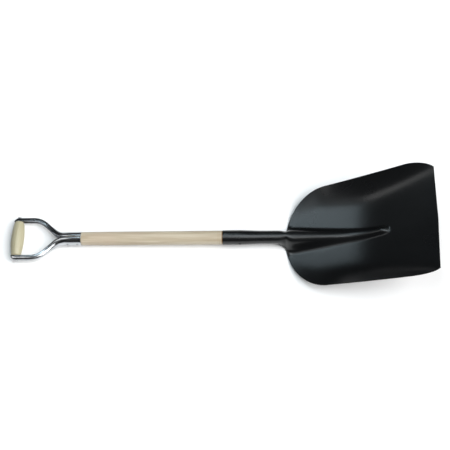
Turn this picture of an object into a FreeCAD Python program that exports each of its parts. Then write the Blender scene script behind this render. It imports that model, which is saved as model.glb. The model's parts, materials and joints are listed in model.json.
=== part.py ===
"""Grain scoop shovel: a pressed steel scoop on a wooden shaft, with a two-armed steel yoke and a roller grip.

It is modelled along its shaft: +X runs along the shaft axis towards the scoop's cutting edge, with x = 0 at
the mouth of the scoop's socket, +Y is across, and +Z is the open side of the scoop. Last of all, every part
is laid down together so that the scoop's heel and the roller rest on z = 0, with the origin under the middle
of the whole tool. Units are mm.
"""

import FreeCAD
import Part

import math
import os

Vector = FreeCAD.Vector
X_AXIS = Vector(1, 0, 0)
Y_AXIS = Vector(0, 1, 0)
ORIGIN = Vector(0, 0, 0)

# ---- driving dimensions: scoop head, one pressed sheet -------------------------------------------
SHEET = 1.5                # thickness of the scoop's steel
MOUTH_RADIUS = 18.75       # outside of the socket at its mouth
NECK_RADIUS = 16.8         # outside of the socket where it runs into the scoop
MOUTH_STRAIGHT = 38.0      # length of the socket's parallel mouth
TAPER_END = 105.0          # where the socket has come down to its neck radius
SEAM_HALF_GAP = 0.5        # the rolled socket doesn't quite close at the back

NECK_OPENS = 136.0         # where the socket starts to open at the back
NECK_OPEN = 168.0          # where it has fully opened into the scoop
SHOULDER_CENTRE = 268.0    # centre of the quarter ellipse that each shoulder follows
SHOULDER_LENGTH = 107.0
SHOULDER_HALF_WIDTH = 137.2
NECK_HALF_WIDTH = 24.0
SHOULDER_FILLET = 0.05     # how softly each shoulder's ellipse ends
NECK_BLEND_POWER = 2.5     # and how softly it runs into the neck's own width
SIDE_FLARE = 0.068         # how fast the sides run apart in front of the shoulders
CORNER_START = 455.0       # where each side starts to turn in towards the front corner
FRONT = 528.5              # where each side meets the cutting edge
CORNER_TUCK = 16.5         # how far the front corners are drawn in
CORNER_ROUND = 4.0         # and how much further in their last few millimetres
EDGE_BOW = 4.3             # how far the middle of the cutting edge stands ahead of its corners
EDGE_BOW_START = 400.0

HEEL = 195.0               # where the floor's own height is stated
HEEL_HEIGHT = -22.0
HEEL_SLOPE = 0.185         # of the floor behind the turn, along the shaft
FRONT_SLOPE = 0.575        # of the floor in front of the turn
TURN = 362.0               # where the floor turns upwards
TURN_RADIUS = 42.0         # half the length over which it does
FLOOR_DISH = 0.0004        # and a little from side to side

RIM_STATION = 240.0        # where the rim's own height and slope are stated
RIM_HEIGHT = 7.0
RIM_SLOPE = 0.395
RIM_CURVE = 0.00021
RIM_FALL_START = 455.0     # where the rim starts to come down to the front corner
RIM_FALL = 20.5
RIM_FALL_POWER = 1.8
NECK_RIM_DROP = 4.5        # the rim dips this much more as it runs into the neck
NECK_RIM_SPAN = (160.0, 230.0)

CREASE_SHARE = 0.675       # the floor's half width, as a share of the scoop's
CREASE_SPREAD_START = 330.0
CREASE_SPREAD = 0.28       # and how much wider that share gets by the cutting edge
CREASE_SPREAD_POWER = 2.2
CREASE_RADIUS = 20.0

RIDGE_START = 165.0        # the ridge carries the socket's round top on into the floor
RIDGE_TIP = 421.0
RIDGE_TIP_LENGTH = 27.0    # over which its end is rounded off
RIDGE_SINK = 0.045         # how fast its crest sinks behind the turn
RIDGE_BEAD = 9.0           # its height over the floor in front of the turn
RIDGE_BLEND = 9.0          # how softly the sinking crest runs into that bead
RIDGE_BLEND_FULL = 300.0   # from where on it is that soft
RIDGE_TIP_POWERS = (1.8, 1.3)   # shape of the rounded end
RIDGE_TIP_FOOT = 13.5      # half width of its foot at the tip
RIDGE_FOOT = 29.0          # and how much more that is at the start
RIDGE_FOOT_POWER = 1.1
RIDGE_FOOT_FRONT = 12.0    # how far the same line of the sheet spreads again in front of the tip
RIDGE_FOOT_LIMIT = 0.88    # the foot stays inside this share of the scoop's half width
RIDGE_FOOT_BLEND = 5.0
RIDGE_TOP_FLAT = (0.68, 0.52)   # flat share of its top at the neck, and from RIDGE_TOP_FULL on
RIDGE_TOP_FULL = 280.0
RIDGE_SIDE_REACH = 0.53    # share of the foot over which its side runs out into the floor
RIDGE_SHARE = 0.42         # share of the half section that is spent on the ridge
TUBE_RIDGE_ANGLE = 120.0   # the same share of the socket's half circle, in degrees
SEAM_OPENS_LATE = (8.0, 14.0)   # the ridge side of the neck opens this much later than its seam
SEAM_SHARE = (0.15, 0.60)  # where in the half section that changes over

# ---- driving dimensions: shaft, rivets, yoke and roller ------------------------------------------
SHAFT_RADIUS = 18.0        # of the wood at the socket's mouth
SHAFT_GRIP_RADIUS = 17.0   # of the wood at the yoke
SHAFT_MIDDLE_RADIUS = 17.5
CLIP_ZONE = (-290.0, -110.0)   # the stretch of plain cylinder where a rack's clip holds the shaft
FIT = 0.05                 # radial room between the wood and the steel round it
SHAFT_IN_SOCKET = 112.0    # how deep the wood goes into the socket
SHAFT_END_CHAMFER = 2.0
TENON_CHAMFER = 1.5
TENON_ROOM = 0.12          # inside the turned-in lips of the ferrule's seam
SHOULDER_CHAMFER = (1.5, 0.8)   # length and depth, where the wood meets the ferrule
SOCKET_ROOM = 0.06         # added room in the socket, whose taper the wood follows in short straight steps

YOKE_SHEET = 1.4
FERRULE_END = -366.5       # where the yoke's ferrule starts on the shaft
FERRULE_LENGTH = 42.0
FERRULE_RADIUS = 17.4
TENON_LENGTH = 41.0        # of the shaft, inside the ferrule
YOKE_HALF_GAP = 0.5        # the two halves don't quite meet
ARM_DEPTH = 12.0           # of each arm, in the plane of the yoke
ARM_HEIGHT = 14.5          # of each arm, across that plane
ARM_SQUARENESS = 2.4
ARM_ANGLE = 42.0           # how far each arm leans out between its two bends, in degrees
ARM_BEND_RADIUS = 48.0
ARM_STRAIGHT = 34.5        # between the two bends
PIN_X = -535.5             # axis of the roller's pin
ARM_NOSE = 13.0            # how far each arm's rounded end reaches past the pin
ARM_NOSE_THINNING = 0.25   # share of its height that it loses there
FLATTEN_EARLY = 16.0       # how far before the bend the ferrule's round section starts to flatten
SEAM_TURN_IN = 1.1         # how far the edges of the two halves are turned in along their seam
SEAM_TURN_ANGLE = 7.0      # and over how many degrees of the section

RIVET_RADIUS = 2.5
SOCKET_RIVET_X = 43.7
YOKE_RIVETS_X = {"yoke_rivet_front": -376.5, "yoke_rivet_rear": -401.5}
RIVET_HEAD_RADIUS = 4.6
RIVET_HEAD_HEIGHT = 1.5
RIVET_SEAT_GAP = 0.02      # between a head and the surface that it sits on
RIVET_RISE = 0.2           # how far the rivet's body stands over the tube, inside its head

PIN_RADIUS = 3.5
PIN_ROOM = 0.08            # radial running room of the roller on its pin
PIN_HEAD_RADIUS = 5.5
PIN_HEAD_HEIGHT = 1.8

ROLLER_END_RADIUS = 12.8
ROLLER_MIDDLE_RADIUS = 16.9
ROLLER_END_ROUND = 4.5
ROLLER_END_ROOM = 0.4      # between each end of the roller and its arm


# ---- small helpers -------------------------------------------------------------------------------
def clamp(value):
    return max(0.0, min(1.0, value))


def smooth(low, high, value):
    """0 below low, 1 above high, and a smooth step between them."""
    t = clamp((value - low) / (high - low))
    return t * t * (3.0 - 2.0 * t)


def mix(a, b, share):
    return a + (b - a) * share


def mix_points(a, b, share):
    return (mix(a[0], b[0], share), mix(a[1], b[1], share))


def steps(start, end, count):
    return [start + (end - start) * i / count for i in range(count + 1)]


def stretches(*starts):
    """Steps along a line that changes its pace. starts holds (where a stretch starts, how many steps)."""
    values = []
    for (start, count), (end, _) in zip(starts, starts[1:]):
        values += steps(start, end, count)[:-1]
    return values + [starts[-1][0]]


def spline_surface(rows):
    surface = Part.BSplineSurface()
    surface.interpolate(rows)
    return surface


def boundary_edges(surface):
    """The four edges of a surface patch, in the same order for every patch."""
    u0, u1, v0, v1 = surface.bounds()
    return [surface.uIso(u0).toShape(), surface.uIso(u1).toShape(),
            surface.vIso(v0).toShape(), surface.vIso(v1).toShape()]


def sheet_solid(face_rows, back_rows):
    """A solid sheet between two faces that are given as rows of points, the same way round on both."""
    face, back = spline_surface(face_rows), spline_surface(back_rows)
    faces = [face.toShape(), back.toShape()]
    for face_edge, back_edge in zip(boundary_edges(face), boundary_edges(back)):
        faces.append(Part.makeRuledSurface(face_edge, back_edge, 1))
    shell = Part.makeShell(faces)
    shell.sewShape()
    solid = Part.makeSolid(shell)
    solid.fix(1e-3, 1e-3, 1e-2)
    if solid.Volume < 0:
        solid.reverse()
    return solid


def turned(profile, axis=X_AXIS):
    """A solid turned about an axis. profile holds (place along it, radius) corners, and ends on the axis."""
    side = Vector(0, 0, 1)
    points = [axis * along + side * radius for along, radius in profile]
    return Part.Face(Part.makePolygon(points + points[:1])).revolve(ORIGIN, axis, 360)


def cross_drill(x, radius, reach=80.0):
    return Part.makeCylinder(radius, 2 * reach, Vector(x, -reach, 0), Y_AXIS)


# ---- scoop head ----------------------------------------------------------------------------------
def socket_radius(s):
    return mix(MOUTH_RADIUS, NECK_RADIUS, smooth(MOUTH_STRAIGHT, TAPER_END, s))


def rim_half_width(s):
    t = max(0.0, SHOULDER_CENTRE - s) / SHOULDER_LENGTH
    inside = 1.0 - t * t
    shoulder = SHOULDER_HALF_WIDTH * math.sqrt(0.5 * (inside + math.hypot(inside, SHOULDER_FILLET)))
    power = NECK_BLEND_POWER
    width = (shoulder ** power + NECK_HALF_WIDTH ** power) ** (1.0 / power)
    width += SIDE_FLARE * max(0.0, s - SHOULDER_CENTRE)
    corner = max(0.0, s - CORNER_START) / (FRONT - CORNER_START)
    return width - CORNER_TUCK * corner ** 2 - CORNER_ROUND * corner ** 10


def floor_height(s):
    def past_turn(at):
        return 0.5 * (math.hypot(at - TURN, TURN_RADIUS) + at - TURN)

    turned_up = (FRONT_SLOPE - HEEL_SLOPE) * (past_turn(s) - past_turn(HEEL))
    return HEEL_HEIGHT + HEEL_SLOPE * (s - HEEL) + turned_up


def rim_height(s):
    run = s - RIM_STATION
    height = RIM_HEIGHT + RIM_SLOPE * run + RIM_CURVE * run * run
    height -= NECK_RIM_DROP * (1.0 - smooth(*NECK_RIM_SPAN, s))
    fall = max(0.0, s - RIM_FALL_START) / (FRONT - RIM_FALL_START)
    return height - RIM_FALL * fall ** RIM_FALL_POWER


def crease_half_width(s):
    spread = max(0.0, s - CREASE_SPREAD_START) / (FRONT - CREASE_SPREAD_START)
    return rim_half_width(s) * (CREASE_SHARE + CREASE_SPREAD * spread ** CREASE_SPREAD_POWER)


def pan_height(s, y):
    """The scoop's floor and walls, without the ridge: flat in the middle, and turning up past the crease."""
    width, crease = rim_half_width(s), crease_half_width(s)

    def rise(at):
        past = at - crease
        return 0.5 * (math.sqrt(past * past + CREASE_RADIUS ** 2) + past)

    wall = rim_height(s) - floor_height(s) - FLOOR_DISH * width * width
    return floor_height(s) + FLOOR_DISH * y * y + wall * (rise(y) - rise(0)) / (rise(width) - rise(0))


def ridge_height(s):
    """The crest's height over the floor: level behind the turn, then a bead with a round end."""
    level = NECK_RADIUS - RIDGE_SINK * (s - RIDGE_START) - floor_height(s)
    over = level - RIDGE_BEAD
    blend = RIDGE_BLEND * smooth(RIDGE_START, RIDGE_BLEND_FULL, s)
    height = RIDGE_BEAD + 0.5 * (over + math.hypot(over, blend))
    end = clamp((s - RIDGE_TIP + RIDGE_TIP_LENGTH) / RIDGE_TIP_LENGTH)
    return height * (1.0 - end ** RIDGE_TIP_POWERS[0]) ** RIDGE_TIP_POWERS[1]


def ridge_foot(s):
    t = clamp((s - RIDGE_START) / (RIDGE_TIP - RIDGE_START))
    foot = RIDGE_TIP_FOOT + RIDGE_FOOT * (1.0 - t) ** RIDGE_FOOT_POWER
    foot += RIDGE_FOOT_FRONT * smooth(RIDGE_TIP, FRONT, s)
    power = RIDGE_FOOT_BLEND
    inside = RIDGE_FOOT_LIMIT * rim_half_width(s)
    return (foot ** -power + inside ** -power) ** (-1.0 / power)


def crest_height(s):
    if s <= RIDGE_START:
        return NECK_RADIUS
    return floor_height(s) + ridge_height(s)


def scoop_section(s, a):
    """A point of the scoop's half section at station s: a = 0 is the middle of the ridge, a = 1 the rim."""
    foot = ridge_foot(s)
    foot_height = pan_height(s, foot)
    if a > RIDGE_SHARE:
        y = mix(foot, rim_half_width(s), (a - RIDGE_SHARE) / (1.0 - RIDGE_SHARE))
        return (y, pan_height(s, y))
    t = a / RIDGE_SHARE
    crest = crest_height(s)
    flat_top = mix(*RIDGE_TOP_FLAT, smooth(RIDGE_START, RIDGE_TOP_FULL, s)) * foot
    slope_at_foot = pan_height(s, foot + 0.5) - pan_height(s, foot - 0.5)
    reach = RIDGE_SIDE_REACH * foot
    side = (foot - reach, foot_height - reach * slope_at_foot)
    corners = [(0.0, crest), (flat_top, crest), side, (foot, foot_height)]
    weights = [(1 - t) ** 3, 3 * t * (1 - t) ** 2, 3 * t * t * (1 - t), t ** 3]
    return tuple(sum(w * c[k] for w, c in zip(weights, corners)) for k in (0, 1))


def socket_section(s, a):
    """The socket's half section with the same meaning of a: 0 is its top, and 1 the edge of its seam."""
    radius = socket_radius(s)
    seam = 180.0 - math.degrees(SEAM_HALF_GAP / radius)
    if a < RIDGE_SHARE:
        angle = TUBE_RIDGE_ANGLE * a / RIDGE_SHARE
    else:
        angle = mix(TUBE_RIDGE_ANGLE, seam, (a - RIDGE_SHARE) / (1.0 - RIDGE_SHARE))
    angle = math.radians(angle)
    return (radius * math.sin(angle), radius * math.cos(angle))


def head_point(s, v):
    """The front face of the head's sheet: s runs along the shaft, and v from the right rim to the left."""
    a = abs(v)
    late = smooth(NECK_OPENS + SEAM_OPENS_LATE[0], NECK_OPEN + SEAM_OPENS_LATE[1], s)
    share = mix(late, smooth(NECK_OPENS, NECK_OPEN, s), smooth(*SEAM_SHARE, a))
    if share == 0.0:
        y, z = socket_section(s, a)
    elif share == 1.0:
        y, z = scoop_section(s, a)
    else:
        y, z = mix_points(socket_section(s, a), scoop_section(s, a), share)
    bow = EDGE_BOW * smooth(EDGE_BOW_START, FRONT, s) * (1.0 - a * a)
    return Vector(s + bow, math.copysign(y, v), z)


def head_back_point(s, v):
    """The sheet's other face, one thickness inside the front face along its normal."""
    step = 1e-3
    along = head_point(s + step, v) - head_point(s - step, v)
    across = head_point(s, v + step) - head_point(s, v - step)
    return head_point(s, v) - along.cross(across).normalize() * SHEET


def scoop_head():
    """Stations stand closer together where the shape changes quickly: at the neck and at the ridge's end."""
    stations = stretches((0, 14), (112, 8), (152, 14), (180, 12), (266, 10), (392, 16), (434, 12), (FRONT, 0))
    widths = stretches((-1.0, 16), (-RIDGE_SHARE, 28), (RIDGE_SHARE, 16), (1.0, 0))
    faces = [[[point(s, v) for v in widths] for s in stations] for point in (head_point, head_back_point)]
    head = sheet_solid(*faces)
    return head.cut(cross_drill(SOCKET_RIVET_X, RIVET_RADIUS + FIT))


# ---- shaft ---------------------------------------------------------------------------------------
def shaft():
    """From the tenon inside the ferrule, along the plain stretch for a clip, down into the socket."""
    start = FERRULE_END - TENON_LENGTH
    tenon = FERRULE_RADIUS - YOKE_SHEET - SEAM_TURN_IN - TENON_ROOM
    profile = [(start, 0), (start, tenon - TENON_CHAMFER), (start + TENON_CHAMFER, tenon)]
    profile += [(FERRULE_END, tenon), (FERRULE_END, SHAFT_GRIP_RADIUS - SHOULDER_CHAMFER[1])]
    profile.append((FERRULE_END + SHOULDER_CHAMFER[0], SHAFT_GRIP_RADIUS))
    profile += [(x, SHAFT_MIDDLE_RADIUS) for x in CLIP_ZONE]
    profile += [(-SHAFT_END_CHAMFER, SHAFT_RADIUS), (0.0, MOUTH_RADIUS - SHEET - FIT - SOCKET_ROOM)]
    for x in steps(MOUTH_STRAIGHT, TAPER_END, 8):
        profile.append((x, socket_radius(x) - SHEET - FIT - SOCKET_ROOM))
    end = socket_radius(SHAFT_IN_SOCKET) - SHEET - FIT - SOCKET_ROOM
    profile += [(SHAFT_IN_SOCKET - SHAFT_END_CHAMFER, end), (SHAFT_IN_SOCKET, end - SHAFT_END_CHAMFER)]
    profile.append((SHAFT_IN_SOCKET, 0))
    wood = turned(profile)
    for x in [SOCKET_RIVET_X, *YOKE_RIVETS_X.values()]:
        wood = wood.cut(cross_drill(x, RIVET_RADIUS + FIT))
    return wood


# ---- rivets --------------------------------------------------------------------------------------
def domed_head(radius, height, seat, outwards):
    """A domed rivet head that stands on y = seat and points along +Y or -Y."""
    ball = (radius * radius + height * height) / (2.0 * height)
    centre = Vector(0, outwards * (seat + height - ball), 0)
    sphere = Part.makeSphere(ball, centre)
    keep = Part.makeCylinder(radius, 2 * height, Vector(0, outwards * seat, 0), Y_AXIS * outwards)
    return sphere.common(keep)


def cross_rivet(x, tube_radius):
    """A rivet straight through a round tube, with a head dressed down on each side."""
    seat = tube_radius - RIVET_HEAD_RADIUS ** 2 / (2.0 * tube_radius)
    height = RIVET_HEAD_HEIGHT + tube_radius - seat
    tube = Part.makeCylinder(tube_radius + RIVET_SEAT_GAP, 40.0, Vector(-20.0, 0, 0), X_AXIS)
    reach = tube_radius + RIVET_RISE
    rivet = Part.makeCylinder(RIVET_RADIUS, 2 * reach, Vector(0, -reach, 0), Y_AXIS)
    for outwards in (1, -1):
        rivet = rivet.fuse(domed_head(RIVET_HEAD_RADIUS, height, seat, outwards).cut(tube))
    rivet = rivet.removeSplitter()
    rivet.translate(Vector(x, 0, 0))
    return rivet


def grip_pin():
    """The pin that the roller turns on, riveted over outside both arms."""
    seat = YOKE_HALF_GAP + arm_end_offset() + ARM_DEPTH + RIVET_SEAT_GAP
    pin = Part.makeCylinder(PIN_RADIUS, 2 * seat, Vector(0, -seat, 0), Y_AXIS)
    for outwards in (1, -1):
        pin = pin.fuse(domed_head(PIN_HEAD_RADIUS, PIN_HEAD_HEIGHT, seat, outwards))
    pin = pin.removeSplitter()
    pin.translate(Vector(PIN_X, 0, 0))
    return pin


# ---- yoke ----------------------------------------------------------------------------------------
def arm_end_offset():
    """How far the arms' inner edges are from the seam once both bends are past."""
    lean = math.radians(ARM_ANGLE)
    return 2 * ARM_BEND_RADIUS * (1 - math.cos(lean)) + ARM_STRAIGHT * math.sin(lean)


def arm_lengths():
    """Lengths of the yoke's inner edge: ferrule, bend, straight, bend, and the rest up to the pin."""
    lean = math.radians(ARM_ANGLE)
    bend = ARM_BEND_RADIUS * lean
    used = 2 * ARM_BEND_RADIUS * math.sin(lean) + ARM_STRAIGHT * math.cos(lean)
    return [FERRULE_LENGTH, bend, ARM_STRAIGHT, bend, FERRULE_END - FERRULE_LENGTH - used - PIN_X]


def yoke_path(s):
    """The yoke's inner edge at length s from the ferrule's end, as (x, y, lean in radians)."""
    x, y, lean = FERRULE_END, YOKE_HALF_GAP, 0.0
    left = s
    curvatures = [0.0, 1.0 / ARM_BEND_RADIUS, 0.0, -1.0 / ARM_BEND_RADIUS, 0.0]
    for number, (length, curvature) in enumerate(zip(arm_lengths(), curvatures)):
        run = left if number == 4 else min(left, length)
        if curvature:
            turn = run * curvature
            x -= (math.sin(lean + turn) - math.sin(lean)) / curvature
            y += (math.cos(lean) - math.cos(lean + turn)) / curvature
            lean += turn
        else:
            x -= run * math.cos(lean)
            y += run * math.sin(lean)
        left -= run
    return x, y, lean


def yoke_point(s, v, inset=0.0):
    """A point of the left half of the yoke, on its outer face or inset from it.

    s runs along the inner edge and v round the section from the lower edge to the upper. Past the pin, s
    counts in quarter turns round the arm's nose.
    """
    lengths = arm_lengths()
    pin, crotch = sum(lengths), lengths[0]
    nose = math.radians(90.0 * max(0.0, s - pin))
    share = smooth(crotch - FLATTEN_EARLY, crotch + lengths[1] + lengths[2], s)
    depth = (mix(FERRULE_RADIUS, ARM_DEPTH, share) - inset) * math.cos(nose)
    half_height = mix(FERRULE_RADIUS, ARM_HEIGHT / 2, share) - inset
    half_height *= 1.0 - ARM_NOSE_THINNING * math.sin(nose) ** 4
    power = 2.0 / mix(2.0, ARM_SQUARENESS, share)
    angle = math.radians(90.0 * v)
    out = depth * math.cos(angle) ** power if abs(v) < 1.0 else 0.0
    up = math.copysign(half_height * abs(math.sin(angle)) ** power, v)
    from_seam = (1.0 - abs(v)) * 90.0 / SEAM_TURN_ANGLE
    up -= math.copysign(SEAM_TURN_IN * math.exp(-from_seam ** 2), v) * (1.0 - share)
    x, y, lean = yoke_path(min(s, pin) + (ARM_NOSE - inset) * math.sin(nose))
    return Vector(x + out * math.sin(lean), y + out * math.cos(lean), up)


def yoke_half():
    lengths = arm_lengths()
    ferrule, pin = lengths[0], sum(lengths)
    last_bend = pin - lengths[-1]
    stations = stretches((0, 14), (ferrule, 32), (last_bend, 10), (pin, 8), (pin + 1, 0))
    widths = stretches((-1.0, 5), (-0.8, 18), (0.8, 5), (1.0, 0))
    faces = [[[yoke_point(s, v, inset) for v in widths] for s in stations] for inset in (0, YOKE_SHEET)]
    half = sheet_solid(*faces)
    for x in YOKE_RIVETS_X.values():
        half = half.cut(cross_drill(x, RIVET_RADIUS + FIT))
    return half.cut(cross_drill(PIN_X, PIN_RADIUS + FIT))


def mirrored(shape):
    return shape.mirror(ORIGIN, Y_AXIS)


# ---- roller --------------------------------------------------------------------------------------
def grip_roller():
    """A barrel turned from wood, bored for the pin, with rounded ends."""
    half = YOKE_HALF_GAP + arm_end_offset() - ROLLER_END_ROOM
    bore = PIN_RADIUS + PIN_ROOM
    shoulder = half - ROLLER_END_ROUND
    end_corner = Vector(0, half, ROLLER_END_RADIUS - ROLLER_END_ROUND)
    cut = ROLLER_END_ROUND * (1.0 - math.sqrt(0.5))
    knee = Vector(0, half - cut, ROLLER_END_RADIUS - cut)
    top = Vector(0, shoulder, ROLLER_END_RADIUS)

    def across(point):
        return Vector(0, -point.y, point.z)

    barrel = Part.Arc(across(top), Vector(0, 0, ROLLER_MIDDLE_RADIUS), top).toShape()
    right_round = Part.Arc(top, knee, end_corner).toShape()
    left_round = Part.Arc(across(end_corner), across(knee), across(top)).toShape()
    flats = Part.makePolygon([end_corner, Vector(0, half, bore), Vector(0, -half, bore), across(end_corner)])
    profile = Part.Wire([left_round, barrel, right_round, *flats.Edges])
    roller = Part.Face(profile).revolve(ORIGIN, Y_AXIS, 360)
    roller.translate(Vector(PIN_X, 0, 0))
    return roller


# ---- laying the tool down ------------------------------------------------------------------------
def lowest(shape, lean):
    leaning = shape.copy()
    leaning.rotate(ORIGIN, Y_AXIS, math.degrees(lean))
    return leaning.optimalBoundingBox(False, False).ZMin


def resting_lean(head):
    """How far the tool turns about Y, in radians, for the scoop's heel and the roller to touch one floor."""
    low, high = math.radians(-5), math.radians(5)
    for _ in range(20):
        lean = (low + high) / 2
        if lowest(head, lean) < -PIN_X * math.sin(lean) - ROLLER_MIDDLE_RADIUS:
            high = lean
        else:
            low = lean
    return (low + high) / 2


def lay_down(parts):
    lean = resting_lean(parts["scoop_head"])
    floor = lowest(parts["scoop_head"], lean)
    for shape in parts.values():
        shape.rotate(ORIGIN, Y_AXIS, math.degrees(lean))
    boxes = [shape.optimalBoundingBox(False, False) for shape in parts.values()]
    middle = (min(box.XMin for box in boxes) + max(box.XMax for box in boxes)) / 2
    shift = Vector(-middle, 0, -floor)
    for shape in parts.values():
        shape.translate(shift)
    print("lean in degrees", round(math.degrees(lean), 4))
    print("the socket's mouth is at", [round(c, 3) for c in shift])


def main():
    parts = {"scoop_head": scoop_head(), "shaft": shaft(), "yoke_left": yoke_half()}
    parts["yoke_right"] = mirrored(parts["yoke_left"])
    parts["socket_rivet"] = cross_rivet(SOCKET_RIVET_X, socket_radius(SOCKET_RIVET_X))
    for name, x in YOKE_RIVETS_X.items():
        parts[name] = cross_rivet(x, FERRULE_RADIUS + YOKE_HALF_GAP)
    parts["grip_pin"] = grip_pin()
    parts["grip_roller"] = grip_roller()
    lay_down(parts)
    os.makedirs("parts", exist_ok=True)
    for name, shape in parts.items():
        print(name, "valid", shape.isValid(), "solids", len(shape.Solids))
        shape.exportStep(f"parts/{name}.step")


main()
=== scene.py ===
"""Looks for the grain scoop shovel, with the floor, the light and the camera round it.

Lengths are metres, angles are degrees, and the scales of noise are per metre.
"""

import json
import math

import bpy
from mathutils import Matrix, Vector


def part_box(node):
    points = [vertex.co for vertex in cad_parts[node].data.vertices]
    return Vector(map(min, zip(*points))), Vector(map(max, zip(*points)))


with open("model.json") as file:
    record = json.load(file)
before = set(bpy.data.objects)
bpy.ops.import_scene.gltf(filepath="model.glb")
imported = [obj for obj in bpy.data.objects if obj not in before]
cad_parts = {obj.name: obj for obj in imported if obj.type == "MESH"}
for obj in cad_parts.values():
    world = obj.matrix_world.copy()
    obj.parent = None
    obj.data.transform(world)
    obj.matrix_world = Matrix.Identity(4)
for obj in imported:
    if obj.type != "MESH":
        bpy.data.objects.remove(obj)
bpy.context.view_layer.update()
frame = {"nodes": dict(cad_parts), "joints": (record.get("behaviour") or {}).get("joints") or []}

# ---- places, worked out from the frame ----------------------------------------------------------
PIN_TO_MOUTH = 0.5355      # from the grip's pin to the mouth of the scoop's socket, along the shaft
BARE_WOOD = 0.3665         # from the yoke's ferrule to the same mouth


def box_middle(node):
    low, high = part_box(node)
    return (low + high) / 2


pin_place = Vector(frame["joints"][0]["pos_m"])
shaft_axis = (box_middle("socket_rivet") - pin_place).normalized()
mouth_place = pin_place + shaft_axis * PIN_TO_MOUTH

# ---- camera -------------------------------------------------------------------------------------
CAMERA_AIM = Vector((0.0148, 0.0334, 0.030))
CAMERA_DISTANCE = 2.6825
CAMERA_AZIMUTH = 8.25      # from looking along +Y, towards looking along -X
CAMERA_ELEVATION = 64.6
CAMERA_ROLL = -7.55
CAMERA_LENS = 83.5         # millimetres
CAMERA_SENSOR = 36.0       # millimetres

# ---- light --------------------------------------------------------------------------------------
WORLD_COLOUR = (0.95, 0.97, 1.0)
WORLD_STRENGTH = 0.025

FILL_FROM = Vector((0.70, -0.20, 0.68))
FILL_SPREAD = 60.0
FILL_STRENGTH = 4.7

# soft boxes that face straight down: the first is mirrored in the scoop's heel, the second along
# the ridge, the socket and the yoke
BOX_HEIGHT = 2.3
HEEL_BOX = {
    "middle": (-0.59, 1.03),
    "size": (0.60, 1.42),
    "turn": -12.0,
    "power": 11.1,
    "colour": (0.74, 0.91, 1.0),
}
RIDGE_BOX = {
    "middle": (0.00, -0.15),
    "size": (0.70, 1.40),
    "turn": 0.0,
    "power": 13.4,
    "colour": (0.86, 0.95, 1.0),
}

# square soft boxes aimed at the tool: one for the line of light along the far crease of the pan,
# one behind the camera for the lower side of the round parts
CREASE_PLACE = Vector((-1.47, -0.32, 1.80))
CREASE_SIZE = 0.95
CREASE_POWER = 4.8
BACK_PLACE = Vector((0.18, -1.55, 3.20))
BACK_SIZE = 0.75
BACK_POWER = 6.5

# ---- floor --------------------------------------------------------------------------------------
FLOOR_HALF_SIZE = 12.0
FLOOR_TONES = ((0.84, 0.84, 0.84), (0.87, 0.87, 0.87))

# ---- paint and steel: darkest and lightest colour, lowest and highest roughness -----------------
PAINT_TONES = ((0.0026, 0.0028, 0.0031), (0.0038, 0.0041, 0.0045))
PAINT_MARK = (0.007, 0.0075, 0.008)
PAINT_ROUGHNESS = (0.25, 0.31)
STEEL_TONES = ((0.44, 0.45, 0.465), (0.56, 0.57, 0.585))
STEEL_ROUGHNESS = (0.15, 0.26)
RIVET_TONES = ((0.34, 0.34, 0.35), (0.58, 0.58, 0.59))
RIVET_ROUGHNESS = (0.26, 0.44)

# ---- wood: pale and deep growth bands, and the tint of its blotches ------------------------------
SHAFT_PALE = (0.550, 0.492, 0.380)
SHAFT_DEEP = (0.340, 0.278, 0.192)
SHAFT_TINT = (0.435, 0.345, 0.260)
GRIP_PALE = (0.405, 0.378, 0.268)
GRIP_DEEP = (0.275, 0.245, 0.155)
GRIP_TINT = (0.370, 0.345, 0.225)
WOOD_ROUGHNESS = (0.42, 0.54)
VARNISH = {"Coat_Weight": 0.06, "Coat_Roughness": 0.25}
PORE_DARKNESS = 0.45       # of the deep colour
AGED_SHARE = 0.50          # how far the shaft's colour goes towards the deep one at the socket

# a thin brown ring on the wood just inside the socket's mouth
MOUTH_RING_BROWN = (0.16, 0.075, 0.018)
TURNED_LINE = (0.25, 0.180, 0.10)
# distance back from the socket's mouth, half width, colour and share
SHAFT_RINGS = (
    (0.0010, 0.0016, MOUTH_RING_BROWN, 0.9),
    (0.0085, 0.0006, TURNED_LINE, 0.4),
    (0.0125, 0.0005, TURNED_LINE, 0.3),
)


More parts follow.
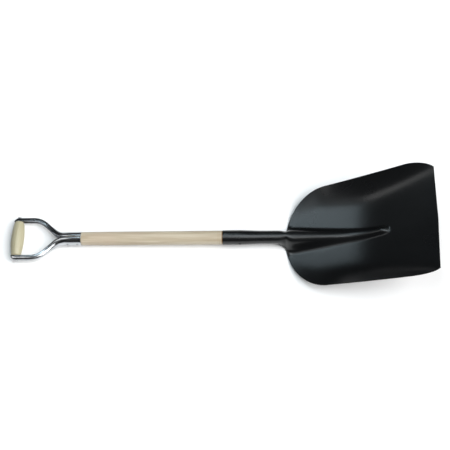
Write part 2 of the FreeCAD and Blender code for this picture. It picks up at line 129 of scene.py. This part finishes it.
# ---- small helpers for materials ----------------------------------------------------------------
class Shader:
    """A node material under construction, with the few kinds of node that this scene uses."""

    def __init__(self, name):
        self.material = bpy.data.materials.new(name)
        self.material.use_nodes = True
        self.tree = self.material.node_tree
        self.surface = self.tree.nodes["Principled BSDF"]
        self.place = self.node("ShaderNodeTexCoord").outputs["Object"]

    def node(self, kind, **values):
        made = self.tree.nodes.new(kind)
        for key, value in values.items():
            setattr(made, key, value)
        return made

    def link(self, source, target):
        self.tree.links.new(source, target)

    def feed(self, socket, value):
        """Puts a number, a colour or another node's output into a socket."""
        if isinstance(value, bpy.types.NodeSocket):
            self.link(value, socket)
        else:
            socket.default_value = value

    def drawn_out(self, axis, scale):
        """Places with one axis scaled down, so that a noise on them runs in streaks along it."""
        scales = [1.0, 1.0, 1.0]
        scales[axis] = scale
        mapping = self.node("ShaderNodeMapping")
        self.link(self.place, mapping.inputs["Vector"])
        mapping.inputs["Scale"].default_value = scales
        return mapping.outputs["Vector"]

    def noise(self, place, scale, detail, distortion=0.0):
        made = self.node("ShaderNodeTexNoise")
        self.link(place, made.inputs["Vector"])
        made.inputs["Scale"].default_value = scale
        made.inputs["Detail"].default_value = detail
        made.inputs["Roughness"].default_value = 0.55
        made.inputs["Distortion"].default_value = distortion
        return made.outputs["Fac"]

    def ramp(self, value, *stops):
        """stops are (place, colour) pairs, or (place, number) pairs for a grey ramp."""
        made = self.node("ShaderNodeValToRGB")
        self.link(value, made.inputs["Fac"])
        elements = made.color_ramp.elements
        while len(elements) < len(stops):
            elements.new(0.5)
        for element, (at, colour) in zip(elements, stops):
            element.position = at
            if isinstance(colour, (int, float)):
                colour = (colour, colour, colour)
            element.color = (*colour, 1.0)
        return made.outputs["Color"]

    def between(self, value, low, high, pair):
        """A ramp from the pair's first to its second as the value goes from low to high."""
        return self.ramp(value, (low, pair[0]), (high, pair[1]))

    def mixed(self, share, a, b):
        made = self.node("ShaderNodeMix", data_type="RGBA")
        self.feed(made.inputs["Factor"], share)
        for socket, value in ((made.inputs[6], a), (made.inputs[7], b)):
            self.feed(socket, (*value, 1.0) if isinstance(value, tuple) else value)
        return made.outputs[2]

    def along(self, start, axis):
        """How far along an axis from a starting place a point is."""
        from_start = self.node("ShaderNodeVectorMath", operation="SUBTRACT")
        self.link(self.place, from_start.inputs[0])
        from_start.inputs[1].default_value = start
        onto_axis = self.node("ShaderNodeVectorMath", operation="DOT_PRODUCT")
        self.link(from_start.outputs["Vector"], onto_axis.inputs[0])
        onto_axis.inputs[1].default_value = axis
        return onto_axis.outputs["Value"]

    def ranged(self, value, low, high, share, **values):
        """0 where the value is at low, rising to share where it is at high."""
        made = self.node("ShaderNodeMapRange", **values)
        self.link(value, made.inputs["Value"])
        made.inputs["From Min"].default_value = low
        made.inputs["From Max"].default_value = high
        made.inputs["To Max"].default_value = share
        return made.outputs["Result"]

    def band(self, value, middle, half_width, share):
        """share inside a band round a middle value, falling softly to 0 outside it."""
        off = self.maths("ABSOLUTE", self.maths("SUBTRACT", value, middle))
        outer, inner = 1.25 * half_width, 0.75 * half_width
        return self.ranged(off, outer, inner, share, interpolation_type="SMOOTHSTEP")

    def maths(self, operation, a, b=0.0):
        made = self.node("ShaderNodeMath", operation=operation)
        self.feed(made.inputs[0], a)
        self.feed(made.inputs[1], b)
        return made.outputs[0]

    def bump(self, height, strength, distance, below=None):
        made = self.node("ShaderNodeBump")
        self.link(height, made.inputs["Height"])
        made.inputs["Strength"].default_value = strength
        made.inputs["Distance"].default_value = distance
        if below is not None:
            self.link(below, made.inputs["Normal"])
        return made.outputs["Normal"]

    def finish(self, colour, roughness, normal=None, **values):
        """Values are the surface's plain sockets, with _ for each space in a socket's name."""
        self.feed(self.surface.inputs["Base Color"], colour)
        self.feed(self.surface.inputs["Roughness"], roughness)
        if normal is not None:
            self.link(normal, self.surface.inputs["Normal"])
        for key, value in values.items():
            self.surface.inputs[key.replace("_", " ")].default_value = value
        return self.material


# ---- materials ----------------------------------------------------------------------------------
def black_paint():
    """Satin black paint on pressed steel: fine orange peel, clouds of dulling, fine draw marks."""
    shader = Shader("black_paint")
    clouds = shader.noise(shader.place, 5.0, detail=3.0)
    marks = shader.noise(shader.drawn_out(0, 0.05), 700.0, detail=3.0)
    peel = shader.noise(shader.place, 650.0, detail=2.0)
    colour = shader.between(clouds, 0.30, 0.75, PAINT_TONES)
    colour = shader.mixed(shader.between(marks, 0.55, 0.80, (0.0, 0.30)), colour, PAINT_MARK)
    roughness = shader.between(clouds, 0.25, 0.80, PAINT_ROUGHNESS)
    normal = shader.bump(peel, strength=0.06, distance=0.0004)
    return shader.finish(colour, roughness, normal)


def bright_steel():
    """Bright plated steel: mirror-like with soft dulling, and fine scratches along the arms."""
    shader = Shader("bright_steel")
    haze = shader.noise(shader.place, 60.0, detail=5.0)
    scratches = shader.noise(shader.drawn_out(0, 0.08), 1400.0, detail=3.0)
    colour = shader.between(haze, 0.30, 0.70, STEEL_TONES)
    roughness = shader.between(haze, 0.25, 0.75, STEEL_ROUGHNESS)
    normal = shader.bump(scratches, strength=0.08, distance=0.0002)
    return shader.finish(colour, roughness, normal, Metallic=1.0)


def rivet_steel():
    """Hammered rivet heads: duller than the plating round them."""
    shader = Shader("rivet_steel")
    marks = shader.noise(shader.place, 420.0, detail=3.0)
    colour = shader.between(marks, 0.30, 0.70, RIVET_TONES)
    roughness = shader.between(marks, 0.25, 0.75, RIVET_ROUGHNESS)
    normal = shader.bump(marks, strength=0.25, distance=0.0004)
    return shader.finish(colour, roughness, normal, Metallic=1.0)


def wood(name, grain, pale, deep, tint):
    """Smooth turned wood with its grain along one axis: growth bands, fibres, pores, a tint."""
    shader = Shader(name)
    growth = shader.noise(shader.drawn_out(grain, 0.05), 95.0, detail=3.0, distortion=0.8)
    fibres = shader.noise(shader.drawn_out(grain, 0.0025), 900.0, detail=4.0)
    pores = shader.noise(shader.drawn_out(grain, 0.10), 1300.0, detail=2.0)
    blotches = shader.noise(shader.place, 9.0, detail=2.0)

    middle = tuple((p + d) / 2 for p, d in zip(pale, deep))
    pore_colour = tuple(PORE_DARKNESS * d for d in deep)
    colour = shader.ramp(growth, (0.36, pale), (0.50, middle), (0.64, deep))
    colour = shader.mixed(shader.between(fibres, 0.35, 0.75, (0.0, 0.45)), colour, deep)
    colour = shader.mixed(shader.between(blotches, 0.45, 0.65, (0.0, 0.50)), colour, tint)
    colour = shader.mixed(shader.between(pores, 0.66, 0.76, (0.0, 0.30)), colour, pore_colour)

    roughness = shader.between(growth, 0.30, 0.70, WOOD_ROUGHNESS)
    normal = shader.bump(fibres, strength=0.12, distance=0.0004)
    normal = shader.bump(pores, strength=0.10, distance=0.0003, below=normal)
    return shader, colour, roughness, normal


def shaft_wood():
    """The shaft's wood, darker towards the socket, with a thin brown ring at the socket's mouth and
    two turned lines.
    """
    shader, colour, roughness, normal = wood("shaft_wood", 0, SHAFT_PALE, SHAFT_DEEP, SHAFT_TINT)
    along = shader.along(mouth_place, shaft_axis)
    aged = shader.ranged(along, -BARE_WOOD, 0.0, AGED_SHARE)
    colour = shader.mixed(aged, colour, SHAFT_DEEP)
    for back, half_width, tone, share in SHAFT_RINGS:
        colour = shader.mixed(shader.band(along, -back, half_width, share), colour, tone)
    return shader.finish(colour, roughness, normal, **VARNISH)


def grip_wood():
    """The grip's wood, with its grain across the tool."""
    shader, colour, roughness, normal = wood("grip_wood", 1, GRIP_PALE, GRIP_DEEP, GRIP_TINT)
    return shader.finish(colour, roughness, normal, **VARNISH)


def pale_floor():
    """A matt pale floor, with a very faint cloud in its tone."""
    shader = Shader("pale_floor")
    cloud = shader.noise(shader.place, 1.5, detail=3.0)
    colour = shader.between(cloud, 0.3, 0.7, FLOOR_TONES)
    return shader.finish(colour, 0.9, Specular_IOR_Level=0.1)


# ---- the object ---------------------------------------------------------------------------------
def dress(material, *nodes):
    for node in nodes:
        slots = frame["nodes"][node].data.materials
        slots.clear()
        slots.append(material)


dress(black_paint(), "scoop_head", "socket_rivet")
dress(shaft_wood(), "shaft")
dress(grip_wood(), "grip_roller")
dress(bright_steel(), "yoke_left", "yoke_right")
dress(rivet_steel(), "yoke_rivet_front", "yoke_rivet_rear", "grip_pin")


# ---- the stage ----------------------------------------------------------------------------------
def add_floor():
    half = FLOOR_HALF_SIZE
    corners = [(-half, -half, 0), (half, -half, 0), (half, half, 0), (-half, half, 0)]
    mesh = bpy.data.meshes.new("floor")
    mesh.from_pydata(corners, [], [(0, 1, 2, 3)])
    mesh.materials.append(pale_floor())
    floor = bpy.data.objects.new("floor", mesh)
    bpy.context.scene.collection.objects.link(floor)


def add_light(name, kind, place, aim=Vector((0, 0, 0)), turn=0.0, **values):
    """A light at a place, facing the aim, and turned about the vertical after that."""
    lamp = bpy.data.lights.new(name, kind)
    for key, value in values.items():
        setattr(lamp, key, value)
    light = bpy.data.objects.new(name, lamp)
    light.location = place
    facing = (place - aim).to_track_quat("Z", "Y").to_euler()
    facing.z += math.radians(turn)
    light.rotation_euler = facing
    bpy.context.scene.collection.objects.link(light)


def add_overhead_box(name, middle, size, turn, power, colour):
    """A rectangular soft box that faces straight down."""
    below = Vector((*middle, 0.0))
    place = Vector((*middle, BOX_HEIGHT))
    width, length = size
    add_light(name, "AREA", place, below, turn, energy=power, color=colour,
              shape="RECTANGLE", size=width, size_y=length)


def add_lights():
    add_light("fill", "SUN", FILL_FROM, energy=FILL_STRENGTH, angle=math.radians(FILL_SPREAD))
    add_overhead_box("heel_box", **HEEL_BOX)
    add_overhead_box("ridge_box", **RIDGE_BOX)
    add_light("crease_box", "AREA", CREASE_PLACE, box_middle("scoop_head"),
              energy=CREASE_POWER, size=CREASE_SIZE)
    add_light("back_box", "AREA", BACK_PLACE, energy=BACK_POWER, size=BACK_SIZE)


def add_world():
    world = bpy.data.worlds.new("studio")
    world.use_nodes = True
    background = world.node_tree.nodes["Background"]
    background.inputs["Color"].default_value = (*WORLD_COLOUR, 1.0)
    background.inputs["Strength"].default_value = WORLD_STRENGTH
    bpy.context.scene.world = world


def add_camera():
    azimuth, elevation = math.radians(CAMERA_AZIMUTH), math.radians(CAMERA_ELEVATION)
    roll = math.radians(CAMERA_ROLL)
    flat = math.cos(elevation)
    back = Vector((flat * math.sin(azimuth), -flat * math.cos(azimuth), math.sin(elevation)))
    level = Vector((0, 0, 1)).cross(back).normalized()
    right = level * math.cos(roll) + back.cross(level) * math.sin(roll)
    up = back.cross(right)
    turned = Matrix((right, up, back)).transposed().to_4x4()

    camera = bpy.data.objects.new("camera", bpy.data.cameras.new("camera"))
    camera.data.lens = CAMERA_LENS
    camera.data.sensor_width = CAMERA_SENSOR
    camera.matrix_world = Matrix.Translation(CAMERA_AIM + back * CAMERA_DISTANCE) @ turned
    bpy.context.scene.collection.objects.link(camera)
    bpy.context.scene.camera = camera


bpy.context.scene.view_settings.view_transform = "Standard"
add_floor()
add_world()
add_lights()
add_camera()
